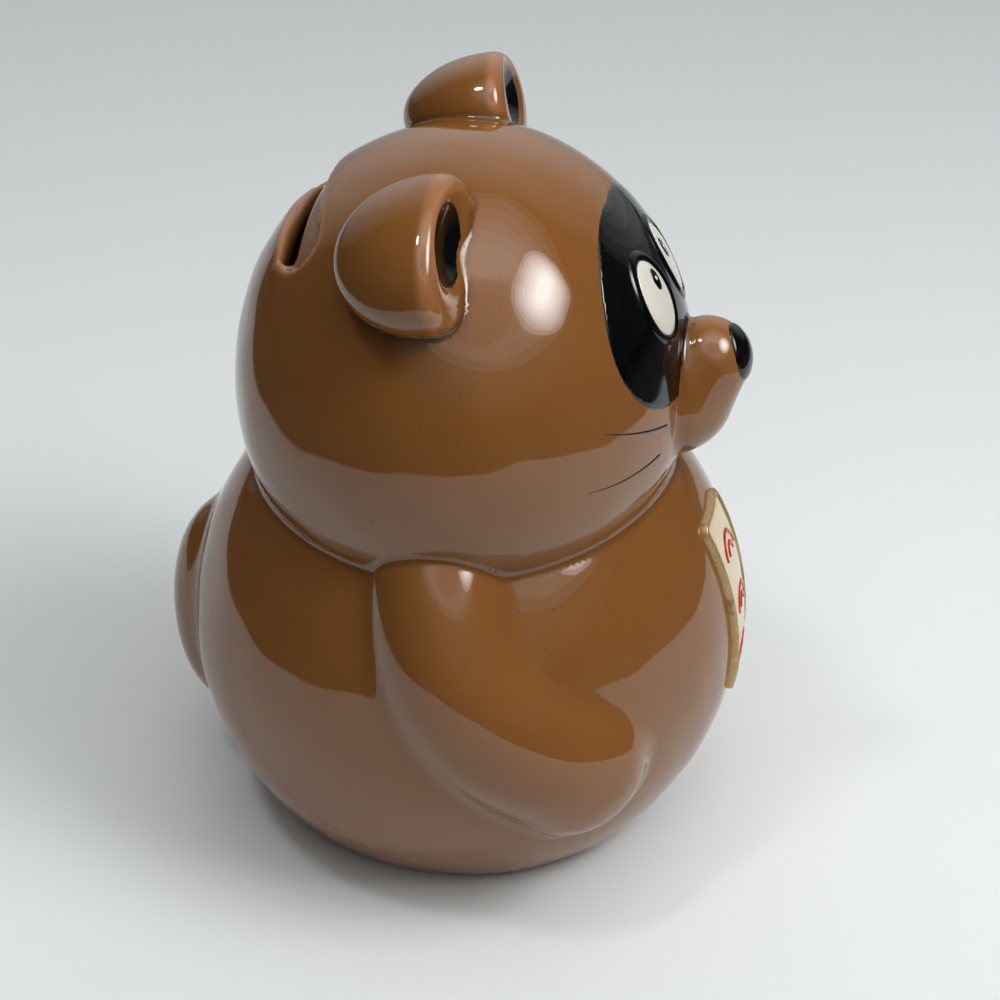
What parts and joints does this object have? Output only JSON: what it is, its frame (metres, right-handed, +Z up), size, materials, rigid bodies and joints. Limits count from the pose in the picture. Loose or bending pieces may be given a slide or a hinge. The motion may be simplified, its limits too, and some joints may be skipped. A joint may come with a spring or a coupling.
{
  "type": "coin bank",
  "caption": "Seated raccoon dog coin bank in glossy brown glazed earthenware, hollow, with a coin slot in the back of the head and a soft stopper in the base.",
  "frame": {"origin": "on the surface it stands on, under the middle of the whole figure's width and depth", "axes": "+Z up, -Y the way the figure looks, -X its own right side"},
  "size_m": [0.1172, 0.1172, 0.146],
  "materials": {
    "brown_glaze": "glossy brown glaze",
    "black_glaze": "glossy black glaze",
    "white_enamel": "glossy white enamel",
    "cream_enamel": "glossy cream enamel",
    "gilding": "satin gold lustre on glaze",
    "red_enamel": "glossy red enamel",
    "soft_plug": "matt moulded rubber"
  },
  "bodies": {
    "bank": {"body_shell": "brown_glaze", "head_shell": "brown_glaze", "muzzle": "brown_glaze", "ear_left": "brown_glaze", "ear_right": "brown_glaze", "arm_left": "brown_glaze", "arm_right": "brown_glaze", "tail": "brown_glaze", "nose_tip": "black_glaze", "ear_lining_left": "black_glaze", "ear_lining_right": "black_glaze", "eye_mask": "black_glaze", "eye_rim_left": "black_glaze", "eye_rim_right": "black_glaze", "pupil_left": "black_glaze", "pupil_right": "black_glaze", "whiskers": "black_glaze", "eye_white_left": "white_enamel", "eye_white_right": "white_enamel", "eye_glints": "white_enamel", "plaque_field": "cream_enamel", "plaque_border": "gilding", "plaque_ornament": "red_enamel"},
    "plug": {"stopper": "soft_plug"}
  },
  "joints": [
    {"name": "stopper_pull", "type": "slide", "parent": "bank", "child": "plug", "axis": [0, 0, -1], "range_m": [0, 0.03]}
  ]
}
